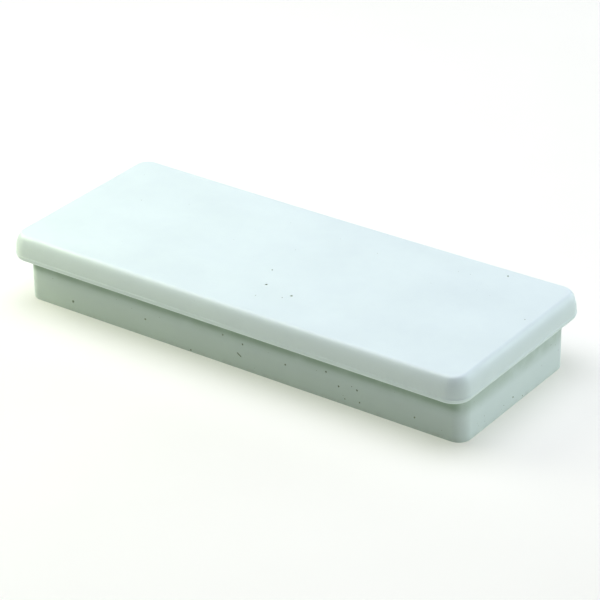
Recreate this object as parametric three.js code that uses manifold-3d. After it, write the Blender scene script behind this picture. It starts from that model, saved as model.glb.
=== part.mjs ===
// Raised pavement marker: a white moulded shell with an overhanging cap on a straight-sided plinth.
// The shell is open underneath and ribbed, and each bay between its ribs holds a block of sand-filled
// resin. Millimetres, +Z up, +X along the marker, origin at the middle of its base.
import * as THREE from "three";
import { mergeVertices } from "three/addons/utils/BufferGeometryUtils.js";
import Module from "manifold-3d";

// Outside of the shell
const LENGTH = 250; // along X, over the lip
const WIDTH = 103.6; // along Y, over the lip
const PLINTH_HEIGHT = 23.2; // base to the cap's underside
const CAP_HEIGHT = 12; // cap's underside to the middle of its top
const DISH = 0.65; // how much higher the top's short ends are than its middle

// Cap, from its top down
const CAP_CORNER = 9.3; // plan radius, over the lip
const EDGE_ACROSS = 3.8; // width of the roundover between top and side
const EDGE_DOWN = 8.4; // height of that roundover
const LIP_PROUD = 0.25; // how far the parting-line lip stands out from the side
const LIP_HEIGHT = 1.2;
const RIM_RADIUS = 2; // between the lip and the cap's underside

// Plinth
const END_OVERHANG = 3.8; // cap past the plinth at each short end
const SIDE_OVERHANG = 8.8; // cap past the plinth along each long side
const PLINTH_CORNER = 6.4; // plan radius
const FILLET = 1.2; // hollow radius where the plinth meets the cap's underside
const BASE_EDGE = 0.6; // radius of the plinth's bottom edge

// Inside of the shell
const WALL = 5;
const TOP_WALL = 5;
const RIB = 3;
const BAYS_ALONG = 4;
const BAYS_ACROSS = 2;
const BAY_CORNER = 4;

// Core blocks
const CORE_GAP = 0.3; // to the shell, all round
const CORE_RECESS = 0.3; // base of the blocks above the shell's bottom edge
const CORE_EDGE = 0.6; // bevel round the top and bottom of a block

const ARC_STEPS = 8; // segments in each quarter of a plan corner
const CURL_STEPS = 12; // segments along each long side, which follow the dished top
const EDGE_STEPS = 7; // segments up the cap's roundover
const SMALL_STEPS = 3; // segments in the small radii
const BAY_SEGMENTS = 5;

const shellMaterial = new THREE.MeshStandardMaterial({ color: 0xe8f4f3, roughness: 0.3, metalness: 0 });
const coreMaterial = () =>
  new THREE.MeshStandardMaterial({ color: 0x8f8d86, roughness: 0.9, metalness: 0 });

// Points of a rounded rectangle's half with y below 0, from left to right.
function halfOutline(halfLength, halfWidth, corner) {
  const straight = halfLength - corner;
  const path = new THREE.Path();
  path.absarc(-straight, corner - halfWidth, corner, Math.PI, 1.5 * Math.PI);
  for (let step = 1; step < CURL_STEPS; step += 1) {
    path.lineTo(straight * ((2 * step) / CURL_STEPS - 1), -halfWidth);
  }
  path.absarc(straight, corner - halfWidth, corner, 1.5 * Math.PI, 2 * Math.PI);
  return path.getPoints(ARC_STEPS / 2);
}

// A whole outline at one level, anticlockwise. curl says how much of the top's dish it takes.
function ring({ endInset, sideInset, corner, z, curl }) {
  const halfLength = LENGTH / 2 - endInset;
  const lower = halfOutline(halfLength, WIDTH / 2 - sideInset, corner);
  const level = (x) => z + curl * DISH * (x / halfLength) ** 2;
  const front = lower.map(({ x, y }) => new THREE.Vector3(x, y, level(x)));
  const back = front.map(({ x, y, z: height }) => new THREE.Vector3(x, -y, height)).reverse();
  return [...front, ...back];
}

const capRing = (inset, z, curl = 0) =>
  ring({ endInset: inset, sideInset: inset, corner: CAP_CORNER - inset, z, curl });

const plinthRing = (inset, z) =>
  ring({
    endInset: END_OVERHANG + inset,
    sideInset: SIDE_OVERHANG + inset,
    corner: PLINTH_CORNER - inset,
    z,
    curl: 0,
  });

// The shell's outside, from the base up, as one ring for each change of section.
function shellRings() {
  const quarter = (steps, step) => (step / steps) * (Math.PI / 2);
  const rings = [];
  for (let step = 0; step <= SMALL_STEPS; step += 1) {
    const angle = quarter(SMALL_STEPS, step);
    rings.push(plinthRing(BASE_EDGE * (1 - Math.sin(angle)), BASE_EDGE * (1 - Math.cos(angle))));
  }
  for (let step = 0; step <= SMALL_STEPS; step += 1) {
    const angle = quarter(SMALL_STEPS, step);
    rings.push(plinthRing(-FILLET * (1 - Math.cos(angle)), PLINTH_HEIGHT - FILLET * (1 - Math.sin(angle))));
  }
  for (let step = 0; step <= SMALL_STEPS; step += 1) {
    const angle = quarter(SMALL_STEPS, step);
    const inset = LIP_PROUD + RIM_RADIUS * (1 - Math.sin(angle));
    rings.push(capRing(inset, PLINTH_HEIGHT + RIM_RADIUS * (1 - Math.cos(angle))));
  }
  const lipFoot = PLINTH_HEIGHT + RIM_RADIUS;
  rings.push(capRing(0, lipFoot + LIP_HEIGHT / 2));
  rings.push(capRing(LIP_PROUD, lipFoot + LIP_HEIGHT));
  for (let step = 0; step <= EDGE_STEPS; step += 1) {
    const angle = quarter(EDGE_STEPS, step);
    const rise = EDGE_DOWN * (1 - Math.sin(angle));
    const inset = LIP_PROUD + EDGE_ACROSS * (1 - Math.cos(angle));
    rings.push(capRing(inset, PLINTH_HEIGHT + CAP_HEIGHT - rise, Math.sin(angle)));
  }
  return rings;
}

// Closes a stack of rings into one solid, with straight strips across its two flat ends.
function loft(rings) {
  const count = rings[0].length;
  const triangles = [];
  for (let level = 0; level < rings.length - 1; level += 1) {
    for (let i = 0; i < count; i += 1) {
      const here = level * count + i;
      const next = level * count + ((i + 1) % count);
      triangles.push(here, next, next + count, here, next + count, here + count);
    }
  }
  const top = (rings.length - 1) * count;
  for (let i = 0; i < count / 2 - 1; i += 1) {
    const opposite = count - 1 - i;
    triangles.push(i, opposite, opposite - 1, i, opposite - 1, i + 1);
    triangles.push(top + i, top + i + 1, top + opposite - 1, top + i, top + opposite - 1, top + opposite);
  }
  return new THREE.BufferGeometry().setFromPoints(rings.flat()).setIndex(triangles);
}

// A rounded rectangle pushed straight up from z = 0, its edges bevelled if asked.
function roundedBlock(length, width, height, corner, bevel = 0) {
  const x = length / 2 - corner - bevel;
  const y = width / 2 - corner - bevel;
  const shape = new THREE.Shape();
  shape.absarc(x, y, corner, 0, Math.PI / 2);
  shape.absarc(-x, y, corner, Math.PI / 2, Math.PI);
  shape.absarc(-x, -y, corner, Math.PI, 1.5 * Math.PI);
  shape.absarc(x, -y, corner, 1.5 * Math.PI, 2 * Math.PI);
  const geometry = new THREE.ExtrudeGeometry(shape, {
    depth: height - 2 * bevel,
    curveSegments: BAY_SEGMENTS,
    bevelEnabled: bevel > 0,
    bevelThickness: bevel,
    bevelSize: bevel,
    bevelSegments: 1,
  });
  return geometry.translate(0, 0, bevel);
}

const wasm = await Module();
wasm.setup();

function toSolid(geometry) {
  const bare = geometry.clone();
  bare.deleteAttribute("normal");
  bare.deleteAttribute("uv");
  const merged = mergeVertices(bare);
  return new wasm.Manifold(
    new wasm.Mesh({
      numProp: 3,
      vertProperties: merged.attributes.position.array,
      triVerts: new Uint32Array(merged.index.array),
    }),
  );
}

function toGeometry(solid) {
  const { vertProperties, triVerts } = solid.getMesh();
  const geometry = new THREE.BufferGeometry();
  geometry.setAttribute("position", new THREE.BufferAttribute(vertProperties, 3));
  geometry.setIndex(new THREE.BufferAttribute(triVerts, 1));
  geometry.computeVertexNormals();
  return geometry;
}

// The bays fill the plinth's inside, with a rib between each pair.
const bayLength = (LENGTH - 2 * (END_OVERHANG + WALL) - (BAYS_ALONG - 1) * RIB) / BAYS_ALONG;
const bayWidth = (WIDTH - 2 * (SIDE_OVERHANG + WALL) - (BAYS_ACROSS - 1) * RIB) / BAYS_ACROSS;
const bayHeight = PLINTH_HEIGHT + CAP_HEIGHT - TOP_WALL;
const OPEN_BELOW = 1; // how far a bay's cutter reaches below the base

function bayCentres() {
  const centres = [];
  for (let across = 0; across < BAYS_ACROSS; across += 1) {
    for (let along = 0; along < BAYS_ALONG; along += 1) {
      centres.push({
        x: (along - (BAYS_ALONG - 1) / 2) * (bayLength + RIB),
        y: (across - (BAYS_ACROSS - 1) / 2) * (bayWidth + RIB),
      });
    }
  }
  return centres;
}

function markerShell() {
  let solid = toSolid(loft(shellRings()));
  for (const { x, y } of bayCentres()) {
    const cutter = roundedBlock(bayLength, bayWidth, bayHeight + OPEN_BELOW, BAY_CORNER);
    solid = solid.subtract(toSolid(cutter.translate(x, y, -OPEN_BELOW)));
  }
  const mesh = new THREE.Mesh(toGeometry(solid), shellMaterial);
  mesh.name = "marker_shell";
  return mesh;
}

function coreBlock({ x, y }, index) {
  const geometry = roundedBlock(
    bayLength - 2 * CORE_GAP,
    bayWidth - 2 * CORE_GAP,
    bayHeight - CORE_RECESS - CORE_GAP,
    BAY_CORNER - CORE_GAP - CORE_EDGE,
    CORE_EDGE,
  );
  const mesh = new THREE.Mesh(geometry, coreMaterial());
  mesh.name = `core_block_${index + 1}`;
  mesh.position.set(x, y, CORE_RECESS);
  return mesh;
}

const marker = new THREE.Group();
marker.add(markerShell());
bayCentres().forEach((centre, index) => marker.add(coreBlock(centre, index)));

export default marker;
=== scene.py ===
"""Raised pavement marker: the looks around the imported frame. Metres, in the frame's own axes.

One cast white shell (cap, plinth and inside ribs) with real pinholes, and the potted core blocks
with their gritty bases, on a plain pale floor under soft studio light.
"""

import math
import random

import bmesh
import bpy
import numpy as np
from mathutils import Matrix, Vector, noise


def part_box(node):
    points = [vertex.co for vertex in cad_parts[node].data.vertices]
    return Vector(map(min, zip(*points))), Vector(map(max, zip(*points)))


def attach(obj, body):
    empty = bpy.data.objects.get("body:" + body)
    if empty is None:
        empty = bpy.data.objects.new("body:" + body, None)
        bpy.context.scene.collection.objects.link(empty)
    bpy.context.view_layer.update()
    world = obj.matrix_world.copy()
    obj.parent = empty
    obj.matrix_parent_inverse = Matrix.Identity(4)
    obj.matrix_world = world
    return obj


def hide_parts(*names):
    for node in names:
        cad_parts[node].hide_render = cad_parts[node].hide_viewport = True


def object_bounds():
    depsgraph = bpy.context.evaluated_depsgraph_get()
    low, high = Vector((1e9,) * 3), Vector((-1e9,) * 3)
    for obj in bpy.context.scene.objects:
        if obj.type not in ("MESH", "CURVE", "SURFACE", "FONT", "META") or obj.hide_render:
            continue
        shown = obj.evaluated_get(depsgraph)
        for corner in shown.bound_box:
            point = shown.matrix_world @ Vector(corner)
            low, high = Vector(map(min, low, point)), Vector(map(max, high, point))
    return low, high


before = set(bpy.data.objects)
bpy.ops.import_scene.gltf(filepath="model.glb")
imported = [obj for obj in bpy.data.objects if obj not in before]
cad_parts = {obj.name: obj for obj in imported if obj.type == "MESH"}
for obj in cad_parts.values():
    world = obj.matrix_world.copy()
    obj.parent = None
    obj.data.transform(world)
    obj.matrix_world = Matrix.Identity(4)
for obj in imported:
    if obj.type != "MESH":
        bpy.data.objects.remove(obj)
cad_low, cad_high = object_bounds()

MM = 0.001

# The shell's outside, as in the CAD source
PLINTH_HEIGHT = 23.2 * MM
CAP_HEIGHT = 12 * MM
DISH = 0.65 * MM  # how much higher the top is at its ends than in its middle
CAP_CORNER = 9.3 * MM
EDGE_ACROSS = 3.8 * MM  # the top edge's roundover, across and down
EDGE_DOWN = 8.4 * MM
LIP_PROUD = 0.25 * MM
LIP_HEIGHT = 1.2 * MM
RIM_RADIUS = 2 * MM
END_OVERHANG = 3.8 * MM
SIDE_OVERHANG = 8.8 * MM
PLINTH_CORNER = 6.4 * MM
FILLET = 1.2 * MM  # where the plinth meets the cap's underside
BASE_EDGE = 0.6 * MM

# Its inside
CORE_NAMES = sorted(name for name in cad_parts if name.startswith("core_block"))
CORE_GAP = 0.3 * MM
BAY_CORNER = 4 * MM
BAY_LEAD = 0.5 * MM  # the rounded mouth of each bay

HALF_LENGTH = (cad_high.x - cad_low.x) / 2
HALF_WIDTH = (cad_high.y - cad_low.y) / 2
TOP = PLINTH_HEIGHT + CAP_HEIGHT
PLINTH_X = HALF_LENGTH - END_OVERHANG
PLINTH_Y = HALF_WIDTH - SIDE_OVERHANG

# Steps of the fine mesh, along the outline and up the section
CORNER_STEPS = 20
SIDE_STEPS = 120
END_STEPS = 44
BASE_EDGE_STEPS = 5
PLINTH_STEPS = 13
FILLET_STEPS = 6
RIM_STEPS = 8
LIP_STEPS = 8
EDGE_STEPS = 16
BAY_LEAD_STEPS = 6
BAY_CORNER_STEPS = 8

# Edges sharper than this, in degrees, are shaded as edges
SHELL_SHARP = 40
CORE_SHARP = 60

# Camera: a long lens 1.2 m away, from the front right and above
CAMERA_AZIMUTH = 35.75
CAMERA_ELEVATION = 28.12
CAMERA_ROLL = -0.76
CAMERA_DISTANCE = 1.2325
CAMERA_LENS = 162.4
CAMERA_SENSOR = 36
AIM_RIGHT = 4.5 * MM
AIM_UP = -17.5 * MM


def quarter(steps):
    """Angles from 0 to a right angle."""
    return np.linspace(0, math.pi / 2, steps + 1)


# ---------------------------------------------------------------- camera

def add_camera():
    azimuth = math.radians(CAMERA_AZIMUTH)
    elevation = math.radians(CAMERA_ELEVATION)
    roll = math.radians(CAMERA_ROLL)
    back = Vector((
        math.sin(azimuth) * math.cos(elevation),
        -math.cos(azimuth) * math.cos(elevation),
        math.sin(elevation),
    ))
    right = Vector((math.cos(azimuth), math.sin(azimuth), 0))
    up = back.cross(right)
    place = Vector((0, 0, TOP)) + back * CAMERA_DISTANCE + right * AIM_RIGHT + up * AIM_UP
    turned_right = right * math.cos(roll) + up * math.sin(roll)
    turned_up = up * math.cos(roll) - right * math.sin(roll)
    turn = Matrix((turned_right, turned_up, back)).transposed().to_4x4()
    data = bpy.data.cameras.new("camera")
    data.lens = CAMERA_LENS
    data.sensor_width = CAMERA_SENSOR
    camera = bpy.data.objects.new("camera", data)
    camera.matrix_world = Matrix.Translation(place) @ turn
    bpy.context.scene.collection.objects.link(camera)
    bpy.context.scene.camera = camera


# ---------------------------------------------------------------- mesh helpers

def link_mesh(name, points, faces, materials):
    mesh = bpy.data.meshes.new(name)
    mesh.from_pydata([tuple(p) for p in points], [], faces)
    for material in materials:
        mesh.materials.append(material)
    piece = bpy.data.objects.new(name, mesh)
    bpy.context.scene.collection.objects.link(piece)
    return piece


def smooth(piece, sharp_degrees):
    mesh = piece.data
    mesh.polygons.foreach_set("use_smooth", [True] * len(mesh.polygons))
    mesh.set_sharp_from_angle(angle=math.radians(sharp_degrees))
    mesh.update()


def cut(piece, cutter):
    """Takes the cutter's volume out of the piece, and leaves the cutter's material on the new faces."""
    step = piece.modifiers.new("cut", "BOOLEAN")
    step.operation = "DIFFERENCE"
    step.solver = "EXACT"
    step.material_mode = "INDEX"
    step.object = cutter
    graph = bpy.context.evaluated_depsgraph_get()
    made = bpy.data.meshes.new_from_object(piece.evaluated_get(graph))
    piece.modifiers.clear()
    old = piece.data
    piece.data = made
    made.name = old.name
    bpy.data.meshes.remove(old)
    bpy.data.objects.remove(cutter)


def outline(half_length, half_width, corner):
    """Points anticlockwise round a rounded rectangle, from the left end of its front side.

    Every outline has the same number of points, so outlines stack into a skin.
    """
    x = half_length - corner
    y = half_width - corner
    arc = quarter(CORNER_STEPS)
    left = np.c_[-x - corner * np.cos(arc), -y - corner * np.sin(arc)]
    side_x = np.linspace(-x, x, SIDE_STEPS + 1)[1:-1]
    side = np.c_[side_x, np.full(len(side_x), -half_width)]
    right = left[::-1] * (-1, 1)
    end_y = np.linspace(-y, y, END_STEPS + 1)[1:-1]
    end = np.c_[np.full(len(end_y), half_length), end_y]
    half = np.vstack((left, side, right, end))
    return np.vstack((half, -half))


def ring(end_inset, side_inset, corner, z, curl=0.0):
    """One level of the shell's skin. curl says how much of the top's dish it takes."""
    half_length = HALF_LENGTH - end_inset
    flat = outline(half_length, HALF_WIDTH - side_inset, corner)
    height = z + curl * DISH * (flat[:, 0] / half_length) ** 2
    return np.c_[flat, height]


def cap_ring(inset, z, curl=0.0):
    return ring(inset, inset, CAP_CORNER - inset, z, curl)


def plinth_ring(inset, z):
    return ring(END_OVERHANG + inset, SIDE_OVERHANG + inset, PLINTH_CORNER - inset, z)


def front_count():
    """Points of an outline on its front side, with both corners."""
    return 2 * (CORNER_STEPS + 1) + SIDE_STEPS - 1


def wall_faces(levels, count):
    """Quads that join a stack of rings of count points each."""
    faces = []
    for level in range(levels - 1):
        for i in range(count):
            here = level * count + i
            beside = level * count + (i + 1) % count
            faces.append((here, beside, beside + count, here + count))
    return faces


def lid(edge, first, next_free):
    """A grid of quads across one closed level: returns its inside points and its faces, facing up.

    edge is the level's points, first the number of its first point, next_free the first unused one.
    """
    columns = front_count()
    half = columns + END_STEPS - 1
    inside = []
    number = np.zeros((columns, END_STEPS + 1), int)
    for i in range(columns):
        opposite = half + columns - 1 - i
        number[i, 0] = first + i
        number[i, END_STEPS] = first + opposite
        for j in range(1, END_STEPS):
            if i == columns - 1:
                number[i, j] = first + columns + j - 1
            elif i == 0:
                number[i, j] = first + half + columns + END_STEPS - 1 - j
            else:
                share = j / END_STEPS
                number[i, j] = next_free + len(inside)
                inside.append(edge[i] * (1 - share) + edge[opposite] * share)
    faces = [
        (number[i, j], number[i + 1, j], number[i + 1, j + 1], number[i, j + 1])
        for i in range(columns - 1)
        for j in range(END_STEPS)
    ]
    return inside, [tuple(int(n) for n in face) for face in faces]


# ---------------------------------------------------------------- shell

def shell_levels():
    """The shell's skin from the base up, a ring at each change of section."""
    levels = []
    for angle in quarter(BASE_EDGE_STEPS):
        inset = BASE_EDGE * (1 - math.sin(angle))
        levels.append(plinth_ring(inset, BASE_EDGE * (1 - math.cos(angle))))
    for z in np.linspace(BASE_EDGE, PLINTH_HEIGHT - FILLET, PLINTH_STEPS + 1)[1:-1]:
        levels.append(plinth_ring(0, z))
    for angle in quarter(FILLET_STEPS):
        inset = -FILLET * (1 - math.cos(angle))
        levels.append(plinth_ring(inset, PLINTH_HEIGHT - FILLET * (1 - math.sin(angle))))
    for angle in quarter(RIM_STEPS):
        inset = LIP_PROUD + RIM_RADIUS * (1 - math.sin(angle))
        levels.append(cap_ring(inset, PLINTH_HEIGHT + RIM_RADIUS * (1 - math.cos(angle))))
    lip_foot = PLINTH_HEIGHT + RIM_RADIUS
    for share in np.linspace(0, 1, LIP_STEPS + 1)[1:]:
        bulge = math.sin(share * math.pi) ** 2
        levels.append(cap_ring(LIP_PROUD * (1 - bulge), lip_foot + share * LIP_HEIGHT))
    for angle in quarter(EDGE_STEPS):
        rise = EDGE_DOWN * (1 - math.sin(angle))
        inset = LIP_PROUD + EDGE_ACROSS * (1 - math.cos(angle))
        levels.append(cap_ring(inset, TOP - rise, math.sin(angle)))
    return levels


def skin(levels):
    """Closes a stack of rings, with a lid at the top and another, turned over, at the base."""
    count = len(levels[0])
    points = list(np.vstack(levels))
    faces = wall_faces(len(levels), count)
    inside, top_faces = lid(levels[-1], (len(levels) - 1) * count, len(points))
    points += inside
    faces += top_faces
    inside, base_faces = lid(levels[0], 0, len(points))
    points += inside
    faces += [face[::-1] for face in base_faces]
    return points, faces


# The largest pinholes, where they catch the eye: place on the face and width, in millimetres
TOP_PINHOLES = [
    (20, -26.5, 1.2), (4.4, -24, 1.1), (-1.8, -11, 0.8), (6.4, -35, 0.5), (17.4, -30, 0.5),
    (90, 43, 1.0), (117.6, 12, 0.6),
]
FRONT_PINHOLES = [
    (-94, 5.5, 1.2), (-51, 9.2, 0.9), (-25, 1.2, 0.8), (-6.5, 14.8, 0.9), (4.5, 13.3, 0.9), (28, 10.4, 0.9),
    (50, 13.8, 0.9), (56.7, 8.6, 0.9), (66.4, 9.7, 0.9), (67.8, 4, 0.8), (60, 3.3, 0.6), (96.4, 6, 0.8),
    (63.6, 10.7, 0.5),
]
END_PINHOLES = [(-2.3, 4.7, 0.8), (5.7, 1.6, 0.6)]
SLANTED_PINHOLE = (2.5, 7.4)
SLANTED_WIDTH = 0.7
SLANTED_STRETCH = 4.4
SLANTED_TURN = math.radians(-35)
FRONT_STRETCH = (1, 1.3)
FRONT_TURN = (0, 3)
PINHOLE_DEPTH = 0.35  # of its width

# The small ones are scattered, clear of the corners, the base and the cap's underside
SEED = 7
FINE_EACH_FACE = 14
FINE_WIDTHS = (0.22, 0.42)
FINE_TOP_WIDTHS = (0.22, 0.4)
FINE_LOW = 2 * MM
FINE_HIGH = PLINTH_HEIGHT - 3 * MM
FREE_X = PLINTH_X - PLINTH_CORNER
FREE_Y = PLINTH_Y - PLINTH_CORNER


def pinhole(bag, place, normal, width, stretch=1.0, turn=0.0):
    """Adds one small egg to the bag of cutters, width millimetres across and sunk in the surface at place."""
    facing = Vector(normal).to_track_quat("Z", "Y").to_matrix().to_4x4()
    half = width * MM / 2
    size = Matrix.Diagonal((half * stretch, half, width * MM * PINHOLE_DEPTH, 1))
    matrix = Matrix.Translation(place) @ facing @ Matrix.Rotation(turn, 4, "Z") @ size
    bmesh.ops.create_icosphere(bag, subdivisions=2, radius=1.0, matrix=matrix)


def on_top(x, y):
    return x, y, TOP + DISH * (x / HALF_LENGTH) ** 2


def large_pinholes(bag, draw):
    front = (0, -1, 0)
    for x, y, width in TOP_PINHOLES:
        pinhole(bag, on_top(x * MM, y * MM), (0, 0, 1), width)
    for x, z, width in FRONT_PINHOLES:
        stretch = draw.uniform(*FRONT_STRETCH)
        turn = draw.uniform(*FRONT_TURN)
        pinhole(bag, (x * MM, -PLINTH_Y, z * MM), front, width, stretch, turn)
    for y, z, width in END_PINHOLES:
        pinhole(bag, (PLINTH_X, y * MM, z * MM), (1, 0, 0), width)
    x, z = SLANTED_PINHOLE
    pinhole(bag, (x * MM, -PLINTH_Y, z * MM), front, SLANTED_WIDTH, SLANTED_STRETCH, SLANTED_TURN)


def fine_pinholes(bag, draw):
    for side in (-1, 1):
        for _ in range(FINE_EACH_FACE):
            x = draw.uniform(-FREE_X, FREE_X)
            z = draw.uniform(FINE_LOW, FINE_HIGH)
            pinhole(bag, (x, side * PLINTH_Y, z), (0, side, 0), draw.uniform(*FINE_WIDTHS))
    for side in (1, -1):
        for _ in range(FINE_EACH_FACE):
            y = draw.uniform(-FREE_Y, FREE_Y)
            z = draw.uniform(FINE_LOW, FINE_HIGH)
            pinhole(bag, (side * PLINTH_X, y, z), (side, 0, 0), draw.uniform(*FINE_WIDTHS))
    for _ in range(FINE_EACH_FACE):
        x = draw.uniform(-FREE_X, FREE_X)
        y = draw.uniform(-FREE_Y, FREE_Y)
        pinhole(bag, on_top(x, y), (0, 0, 1), draw.uniform(*FINE_TOP_WIDTHS))


def pinhole_cutter(materials):
    """All the pinholes of the outside, as one mesh of separate eggs in the second material."""
    draw = random.Random(SEED)
    bag = bmesh.new()
    large_pinholes(bag, draw)
    fine_pinholes(bag, draw)
    mesh = bpy.data.meshes.new("pinholes")
    bag.to_mesh(mesh)
    bag.free()
    for material in materials:
        mesh.materials.append(material)
    mesh.polygons.foreach_set("material_index", [1] * len(mesh.polygons))
    cutter = bpy.data.objects.new("pinholes", mesh)
    bpy.context.scene.collection.objects.link(cutter)
    return cutter


def bay_ring(centre, half_x, half_y, corner, z):
    """One level of a bay: the points of a rounded rectangle, from its far right corner."""
    x, y = half_x - corner, half_y - corner
    points = []
    for right, far, start in ((1, 1, 0), (-1, 1, 1), (-1, -1, 2), (1, -1, 3)):
        for angle in quarter(BAY_CORNER_STEPS) + start * math.pi / 2:
            point_x = centre.x + right * x + corner * math.cos(angle)
            point_y = centre.y + far * y + corner * math.sin(angle)
            points.append((point_x, point_y, z))
    return points


def bay_cutter(name, materials):
    """The space that one core block fills, with a flared mouth that rounds the ribs' lower edges."""
    low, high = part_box(name)
    low = low - Vector((CORE_GAP,) * 3)
    high = high + Vector((CORE_GAP,) * 3)
    centre = (low + high) / 2
    half_x, half_y = (high.x - low.x) / 2, (high.y - low.y) / 2
    levels = [(BAY_LEAD, -1 * MM)]  # starts below the base, so that the cut is clean
    for angle in quarter(BAY_LEAD_STEPS):
        levels.append((BAY_LEAD * (1 - math.sin(angle)), BAY_LEAD * (1 - math.cos(angle))))
    levels.append((0, high.z))
    points = []
    for flare, z in levels:
        points += bay_ring(centre, half_x + flare, half_y + flare, BAY_CORNER + flare, z)
    count = len(points) // len(levels)
    faces = wall_faces(len(levels), count)
    faces.append(tuple(range(count))[::-1])
    faces.append(tuple(range(len(points) - count, len(points))))
    return link_mesh("bay", points, faces, materials)


def build_shell(materials):
    points, faces = skin(shell_levels())
    piece = link_mesh("white_shell", points, faces, materials)
    for name in CORE_NAMES:
        cut(piece, bay_cutter(name, materials))
    cut(piece, pinhole_cutter(materials))
    smooth(piece, SHELL_SHARP)
    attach(piece, "root")
    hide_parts("marker_shell")


# ---------------------------------------------------------------- core blocks

GRAIN_STEP = 0.8 * MM
GRAIN_DEPTH = 0.14 * MM
COARSE_GRAIN = 900  # noise units in a metre
FINE_GRAIN = 2100
FINE_SHARE = 0.6
GRAIN_SHIFT = 3.7  # moves each block to its own part of the noise
HOLLOW = 0.25 * MM  # how far the resin sank in the middle of each bay as it cured
GAP_FILLED = 0.9  # share of the gap round a block that its rendered skin takes up


def rounded(u, v, half_x, half_y):
    """A point of the square from -1 to 1, moved into the rounded rectangle of a block."""
    x, y = u * half_x, v * half_y
    straight_x, straight_y = half_x - BAY_CORNER, half_y - BAY_CORNER
    over_x, over_y = abs(x) - straight_x, abs(y) - straight_y
    if over_x > 0 and over_y > 0:
        reach = math.hypot(over_x, over_y)
        most = max(over_x, over_y)
        x = math.copysign(straight_x + over_x * most / reach, x)
        y = math.copysign(straight_y + over_y * most / reach, y)
    return x, y


def base_point(u, v, centre, half_x, half_y, base):
    """A point of a block's gritty base, u and v running from -1 to 1 across it."""
    x, y = rounded(u, v, half_x, half_y)
    spot = Vector((centre.x + x, centre.y + y, 0))
    shift = Vector((centre.x, centre.y, 0)) * GRAIN_SHIFT
    grain = noise.noise(spot * COARSE_GRAIN + shift) + FINE_SHARE * noise.noise(spot * FINE_GRAIN + shift)
    sink = HOLLOW * (1 - u ** 4) * (1 - v ** 4)
    on_edge = abs(u) == 1 or abs(v) == 1
    rise = 0 if on_edge else sink + GRAIN_DEPTH * grain
    return spot.x, spot.y, base + GRAIN_DEPTH + rise


def build_core(name, material):
    """One potted block, its base rough with sand and slightly sunk in the middle."""
    low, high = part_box(name)
    centre = (low + high) / 2
    half_x = (high.x - low.x) / 2 + CORE_GAP * GAP_FILLED
    half_y = (high.y - low.y) / 2 + CORE_GAP * GAP_FILLED
    across = int(2 * half_x / GRAIN_STEP)
    deep = int(2 * half_y / GRAIN_STEP)
    points = [
        base_point(2 * i / across - 1, 2 * j / deep - 1, centre, half_x, half_y, low.z)
        for i in range(across + 1)
        for j in range(deep + 1)
    ]
    row = deep + 1
    faces = [
        (i * row + j, i * row + j + 1, (i + 1) * row + j + 1, (i + 1) * row + j)
        for i in range(across)
        for j in range(deep)
    ]
    rim = [i * row for i in range(across)] + [across * row + j for j in range(deep)]
    rim += [i * row + deep for i in range(across, 0, -1)] + [j for j in range(deep, 0, -1)]
    count = len(points)
    for k in rim:
        points.append((points[k][0], points[k][1], high.z))
    for k in range(len(rim)):
        after = (k + 1) % len(rim)
        faces.append((rim[k], rim[after], count + after, count + k))
    faces.append(tuple(range(count, count + len(rim))))
    piece = link_mesh(name + "_potted", points, faces, [material])
    smooth(piece, CORE_SHARP)
    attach(piece, "root")
    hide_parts(name)


# ---------------------------------------------------------------- materials

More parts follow.
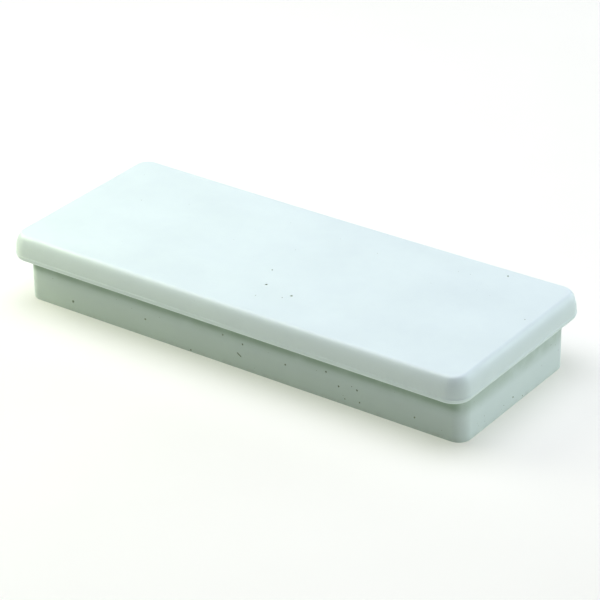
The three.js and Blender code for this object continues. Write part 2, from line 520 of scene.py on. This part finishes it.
class Recipe:
    """A material's node tree, with short ways to add the nodes used here."""

    def __init__(self, name):
        self.material = bpy.data.materials.new(name)
        self.material.use_nodes = True
        self.nodes = self.material.node_tree.nodes
        self.links = self.material.node_tree.links
        self.shader = self.nodes["Principled BSDF"]
        self.place = self.nodes.new("ShaderNodeTexCoord").outputs["Object"]

    def stretched(self, scale, turn):
        node = self.nodes.new("ShaderNodeMapping")
        node.inputs["Scale"].default_value = scale
        node.inputs["Rotation"].default_value = turn
        self.links.new(self.place, node.inputs["Vector"])
        return node.outputs["Vector"]

    def noise(self, size, detail=3.0, rough=0.5, vector=None):
        """Noise whose features are about size metres across, 0 to 1."""
        node = self.nodes.new("ShaderNodeTexNoise")
        node.inputs["Scale"].default_value = 1 / size
        node.inputs["Detail"].default_value = detail
        node.inputs["Roughness"].default_value = rough
        self.links.new(vector or self.place, node.inputs["Vector"])
        return node.outputs["Fac"]

    def cells(self, size, output="Distance", feature="F1"):
        """Voronoi cells about size metres across."""
        node = self.nodes.new("ShaderNodeTexVoronoi")
        node.feature = feature
        node.inputs["Scale"].default_value = 1 / size
        self.links.new(self.place, node.inputs["Vector"])
        return node.outputs[output]

    def ramp(self, value, low, high, to_low=0.0, to_high=1.0):
        """Value from low to high, stretched to to_low to to_high and held outside."""
        node = self.nodes.new("ShaderNodeMapRange")
        node.interpolation_type = "SMOOTHSTEP"
        for key, number in (("From Min", low), ("From Max", high), ("To Min", to_low), ("To Max", to_high)):
            node.inputs[key].default_value = number
        self.links.new(value, node.inputs["Value"])
        return node.outputs["Result"]

    def combine(self, operation, first, second):
        node = self.nodes.new("ShaderNodeMath")
        node.operation = operation
        for socket, value in zip(node.inputs, (first, second)):
            if isinstance(value, (int, float)):
                socket.default_value = value
            else:
                self.links.new(value, socket)
        return node.outputs["Value"]

    def total(self, first, second):
        return self.combine("ADD", first, second)

    def product(self, first, *others):
        for other in others:
            first = self.combine("MULTIPLY", first, other)
        return first

    def blend(self, share, first, second):
        """Colour first where share is 0, second where it is 1."""
        node = self.nodes.new("ShaderNodeMix")
        node.data_type = "RGBA"
        self.links.new(share, node.inputs["Factor"])
        for key, value in (("A", first), ("B", second)):
            socket = next(s for s in node.inputs if s.name == key and s.type == "RGBA")
            if isinstance(value, tuple):
                socket.default_value = (*value, 1)
            else:
                self.links.new(value, socket)
        return next(s for s in node.outputs if s.type == "RGBA")

    def coordinate(self, axis):
        node = self.nodes.new("ShaderNodeSeparateXYZ")
        self.links.new(self.place, node.inputs["Vector"])
        return node.outputs[axis]

    def bump(self, height, depth, before=None):
        node = self.nodes.new("ShaderNodeBump")
        node.inputs["Strength"].default_value = 1.0
        node.inputs["Distance"].default_value = depth
        self.links.new(height, node.inputs["Height"])
        if before is not None:
            self.links.new(before, node.inputs["Normal"])
        return node.outputs["Normal"]

    def finish(self, colour, roughness, normal):
        self.links.new(colour, self.shader.inputs["Base Color"])
        self.links.new(roughness, self.shader.inputs["Roughness"])
        self.links.new(normal, self.shader.inputs["Normal"])
        return self.material


WHITE = (0.72, 0.815, 0.78)
WHITE_SHADE = (0.68, 0.77, 0.75)
MOTTLE_SIZE = 38 * MM
CLOUD_SIZE = 7 * MM
MOTTLE_SHARE = 0.35
FLECK = (0.42, 0.46, 0.42)
FLECK_SPACING = 1.3 * MM
FLECK_PATCHES = 11 * MM
FLECK_SHARE = 0.14
DUST = (0.50, 0.53, 0.47)
DUST_FROM = 3.5 * MM  # height at which the dust starts, and height below which it is full
DUST_FULL = 0.2 * MM
DUST_PATCHES = 5 * MM
DUST_SHARE = 0.25
DUST_ROUGHNESS = 0.4
# Painted shade: a darker greenish tone laid on the plinth under the cap's overhang, and more of it on the
# long sides
PAINTED_SHADE_TONE = (0.33, 0.44, 0.33)
PAINTED_SHADE_PATCHES = 9 * MM
PAINTED_SHADE_SHARE = (0.3, 0.5)
PAINTED_SHADE_FROM = 12 * MM  # below the cap's underside: where the painted shade starts and where it is full
PAINTED_SHADE_FULL = 4 * MM
SIDE_SHADE_SHARE = (0.12, 0.46)  # the long sides' extra painted shade, low down and under the overhang
SIDE_SHADE_FROM = 9 * MM
SIDE_SHADE_FULL = 6 * MM
LONG_SIDE_DEPTH = 2 * MM
SMEAR_SIZE = 16 * MM
SMEAR_STRETCH = (0.35, 1.0, 1.0)
SMEAR_TURN = (0, 0, 0.3)
SATIN = (0.38, 0.52)
GRAIN_SIZE = 1.3 * MM
GRAIN_HEIGHT = 0.012 * MM
RIPPLE_SIZE = 14 * MM
RIPPLE_HEIGHT = 0.05 * MM
SHELL_GLOSS = {
    "Specular IOR Level": 0.5,
    "IOR": 1.5,
    "Coat Weight": 0.12,
    "Coat Roughness": 0.3,
}


def mottled_white(recipe):
    mottle = recipe.ramp(recipe.noise(MOTTLE_SIZE, 4), 0.35, 0.65)
    cloud = recipe.ramp(recipe.noise(CLOUD_SIZE, 3), 0.3, 0.7, 0, 0.5)
    return recipe.blend(recipe.product(recipe.total(mottle, cloud), MOTTLE_SHARE), WHITE, WHITE_SHADE)


def flecks(recipe):
    """Share of fine mineral flecks, which come in patches."""
    sparse = recipe.ramp(recipe.noise(FLECK_PATCHES, 2), 0.5, 0.72)
    fleck = recipe.ramp(recipe.cells(FLECK_SPACING), 0.1, 0.22, 1, 0)
    return recipe.product(fleck, sparse, FLECK_SHARE)


def base_dust(recipe):
    """Share of dust along the foot of the plinth."""
    low_down = recipe.ramp(recipe.coordinate("Z"), DUST_FULL, DUST_FROM, 1, 0)
    patchy = recipe.ramp(recipe.noise(DUST_PATCHES, 5, 0.65), 0.42, 0.7)
    return recipe.product(low_down, patchy, DUST_SHARE)


def plinth_painted_shade(recipe):
    """Share of painted shade on the plinth: a painted shadow under the cap's overhang, and on the long sides
    more painted shade over the whole plinth, strongest under the overhang.
    """
    height = recipe.coordinate("Z")
    below_cap = recipe.ramp(height, PLINTH_HEIGHT - 1 * MM, PLINTH_HEIGHT, 1, 0)
    under_overhang = recipe.ramp(height, PLINTH_HEIGHT - PAINTED_SHADE_FROM, PLINTH_HEIGHT - PAINTED_SHADE_FULL)
    patchy = recipe.ramp(recipe.noise(PAINTED_SHADE_PATCHES, 4), 0.25, 0.6, *PAINTED_SHADE_SHARE)
    # painted shadow under the overhang; below it, more painted shade on the long sides only
    under_cap_shade = recipe.product(under_overhang, below_cap, patchy)
    line = recipe.ramp(height, PLINTH_HEIGHT - SIDE_SHADE_FROM, PLINTH_HEIGHT - SIDE_SHADE_FULL, *SIDE_SHADE_SHARE)
    across = recipe.coordinate("Y")
    inner = (PLINTH_Y - LONG_SIDE_DEPTH) ** 2
    long_side = recipe.ramp(recipe.product(across, across), inner, PLINTH_Y ** 2)
    return recipe.total(under_cap_shade, recipe.product(line, long_side, below_cap))


def shell_material():
    """White cast resin: satin, faintly mottled and flecked, with dust at its foot and painted shade on the
    plinth under the cap and along the long sides.
    """
    recipe = Recipe("white_cast_resin")
    dust = base_dust(recipe)
    colour = recipe.blend(flecks(recipe), mottled_white(recipe), FLECK)
    colour = recipe.blend(dust, colour, DUST)
    # painted shade on the plinth, under the cap and along the long sides
    colour = recipe.blend(plinth_painted_shade(recipe), colour, PAINTED_SHADE_TONE)
    smear = recipe.noise(SMEAR_SIZE, 5, 0.6, recipe.stretched(SMEAR_STRETCH, SMEAR_TURN))
    roughness = recipe.ramp(smear, 0.3, 0.72, *SATIN)
    roughness = recipe.total(roughness, recipe.product(dust, DUST_ROUGHNESS))
    normal = recipe.bump(recipe.noise(GRAIN_SIZE, 3, 0.55), GRAIN_HEIGHT)
    normal = recipe.bump(recipe.noise(RIPPLE_SIZE, 1), RIPPLE_HEIGHT, normal)
    for socket, value in SHELL_GLOSS.items():
        recipe.shader.inputs[socket].default_value = value
    return recipe.finish(colour, roughness, normal)


GRIME_TONES = ((0.29, 0.35, 0.27), (0.42, 0.48, 0.38))
GRIME_PATCHES = 0.5 * MM
GRIME_BUMP = 0.05 * MM
GRIME_ROUGHNESS = (0.75, 0.95)


def pinhole_material():
    """Grime that has settled in the broken bubbles."""
    recipe = Recipe("pinhole_grime")
    patchy = recipe.noise(GRIME_PATCHES, 3)
    colour = recipe.blend(recipe.ramp(patchy, 0.3, 0.7), *GRIME_TONES)
    roughness = recipe.ramp(patchy, 0.2, 0.8, *GRIME_ROUGHNESS)
    return recipe.finish(colour, roughness, recipe.bump(patchy, GRIME_BUMP))


SAND = (0.36, 0.33, 0.27)
SAND_DARK = (0.16, 0.15, 0.13)
SAND_LIGHT = (0.56, 0.54, 0.48)
RESIN = (0.27, 0.26, 0.235)
SAND_SIZE = 0.9 * MM
SAND_HEIGHT = 0.16 * MM
FINE_SAND_SIZE = 0.35 * MM
FINE_SAND_HEIGHT = 0.03 * MM
DAMP_PATCHES = 22 * MM
DAMP_SHARE = (0, 0.35)
CORE_PATCHES = 4 * MM
CORE_ROUGHNESS = (0.62, 0.92)


def core_material():
    """Resin crowded with sand: grains of several tones in a grey binder."""
    recipe = Recipe("sand_filled_resin")
    separate = recipe.nodes.new("ShaderNodeSeparateColor")
    recipe.links.new(recipe.cells(SAND_SIZE, "Color"), separate.inputs["Color"])
    grain = recipe.blend(recipe.ramp(separate.outputs["Red"], 0.1, 0.9), SAND_DARK, SAND_LIGHT)
    grain = recipe.blend(recipe.ramp(separate.outputs["Green"], 0.2, 0.8, 0, 0.7), grain, SAND)
    binder = recipe.ramp(recipe.cells(SAND_SIZE, feature="DISTANCE_TO_EDGE"), 0.02, 0.16, 1, 0)
    colour = recipe.blend(binder, grain, RESIN)
    damp = recipe.ramp(recipe.noise(DAMP_PATCHES, 4), 0.35, 0.7, *DAMP_SHARE)
    colour = recipe.blend(damp, colour, RESIN)
    roughness = recipe.ramp(recipe.noise(CORE_PATCHES, 4), 0.3, 0.7, *CORE_ROUGHNESS)
    normal = recipe.bump(recipe.cells(SAND_SIZE), SAND_HEIGHT)
    normal = recipe.bump(recipe.noise(FINE_SAND_SIZE, 2), FINE_SAND_HEIGHT, normal)
    return recipe.finish(colour, roughness, normal)


FLOOR_TONES = ((0.53, 0.53, 0.50), (0.515, 0.515, 0.485))
FLOOR_PATCHES = 180 * MM
FLOOR_SMEARS = 60 * MM
FLOOR_ROUGHNESS = (0.8, 0.9)
FLOOR_GRAIN = 2 * MM
FLOOR_GRAIN_HEIGHT = 0.02 * MM
FLOOR_GLOW = 0.38
GLOW_COLOUR = (0.97, 1.0, 0.92, 1)


def floor_material():
    """A matt white table top that glows faintly, like a light table."""
    recipe = Recipe("table_top")
    tone = recipe.ramp(recipe.noise(FLOOR_PATCHES, 3), 0.3, 0.7)
    roughness = recipe.ramp(recipe.noise(FLOOR_SMEARS, 3), 0.3, 0.7, *FLOOR_ROUGHNESS)
    normal = recipe.bump(recipe.noise(FLOOR_GRAIN, 2), FLOOR_GRAIN_HEIGHT)
    recipe.shader.inputs["Emission Color"].default_value = GLOW_COLOUR
    recipe.shader.inputs["Emission Strength"].default_value = FLOOR_GLOW
    return recipe.finish(recipe.blend(tone, *FLOOR_TONES), roughness, normal)


# ---------------------------------------------------------------- studio

FLOOR_SIZE = 6.0
WORLD_COLOUR = (0.92, 0.97, 1.0)
WORLD_STRENGTH = 0.02
VIEW_GAMMA = 0.8

# name, place, width, depth, watts, colour
SOFTBOXES = [
    ("over", (-0.05, 0.1, 1.3), 1.4, 1.4, 20.0, (0.88, 0.87, 1.0)),
    ("behind", (0.3, 1.4, 0.6), 1.8, 0.8, 5.0, (0.80, 0.84, 1.0)),
    ("front", (-0.3, -0.55, 1.1), 0.7, 0.6, 0.4, (0.93, 1.0, 0.55)),
    ("near_left", (-0.32, -0.16, 0.2), 0.15, 0.15, 0.26, (0.90, 1.0, 0.50)),
    ("left", (-1.0, -0.15, 0.8), 0.8, 0.7, 7.0, (1.0, 0.98, 0.94)),
    ("right", (1.3, -0.25, 0.45), 0.8, 0.5, 2.5, (0.92, 1.0, 0.98)),
    ("low_right", (1.0, 1.1, 0.3), 1.2, 0.4, 6.0, (0.88, 0.98, 1.0)),
]


def add_softbox(name, place, width, depth, watts, colour):
    data = bpy.data.lights.new(name, "AREA")
    data.shape = "RECTANGLE"
    data.size = width
    data.size_y = depth
    data.energy = watts
    data.color = colour
    light = bpy.data.objects.new(name, data)
    light.location = place
    light.rotation_euler = (-Vector(place)).to_track_quat("-Z", "Y").to_euler()
    bpy.context.scene.collection.objects.link(light)


def add_studio():
    half = FLOOR_SIZE / 2
    corners = [(x, y, cad_low.z) for x, y in ((-half, -half), (half, -half), (half, half), (-half, half))]
    floor = link_mesh("table_top", corners, [(0, 1, 2, 3)], [floor_material()])
    for softbox in SOFTBOXES:
        add_softbox(*softbox)
    world = bpy.data.worlds.new("studio")
    world.use_nodes = True
    sky = world.node_tree.nodes["Background"]
    sky.inputs["Color"].default_value = (*WORLD_COLOUR, 1)
    sky.inputs["Strength"].default_value = WORLD_STRENGTH
    bpy.context.scene.world = world
    bpy.context.scene.view_settings.view_transform = "Standard"
    bpy.context.scene.view_settings.look = "None"
    bpy.context.scene.view_settings.gamma = VIEW_GAMMA


add_camera()
build_shell([shell_material(), pinhole_material()])
sand = core_material()
for core_name in CORE_NAMES:
    build_core(core_name, sand)
add_studio()
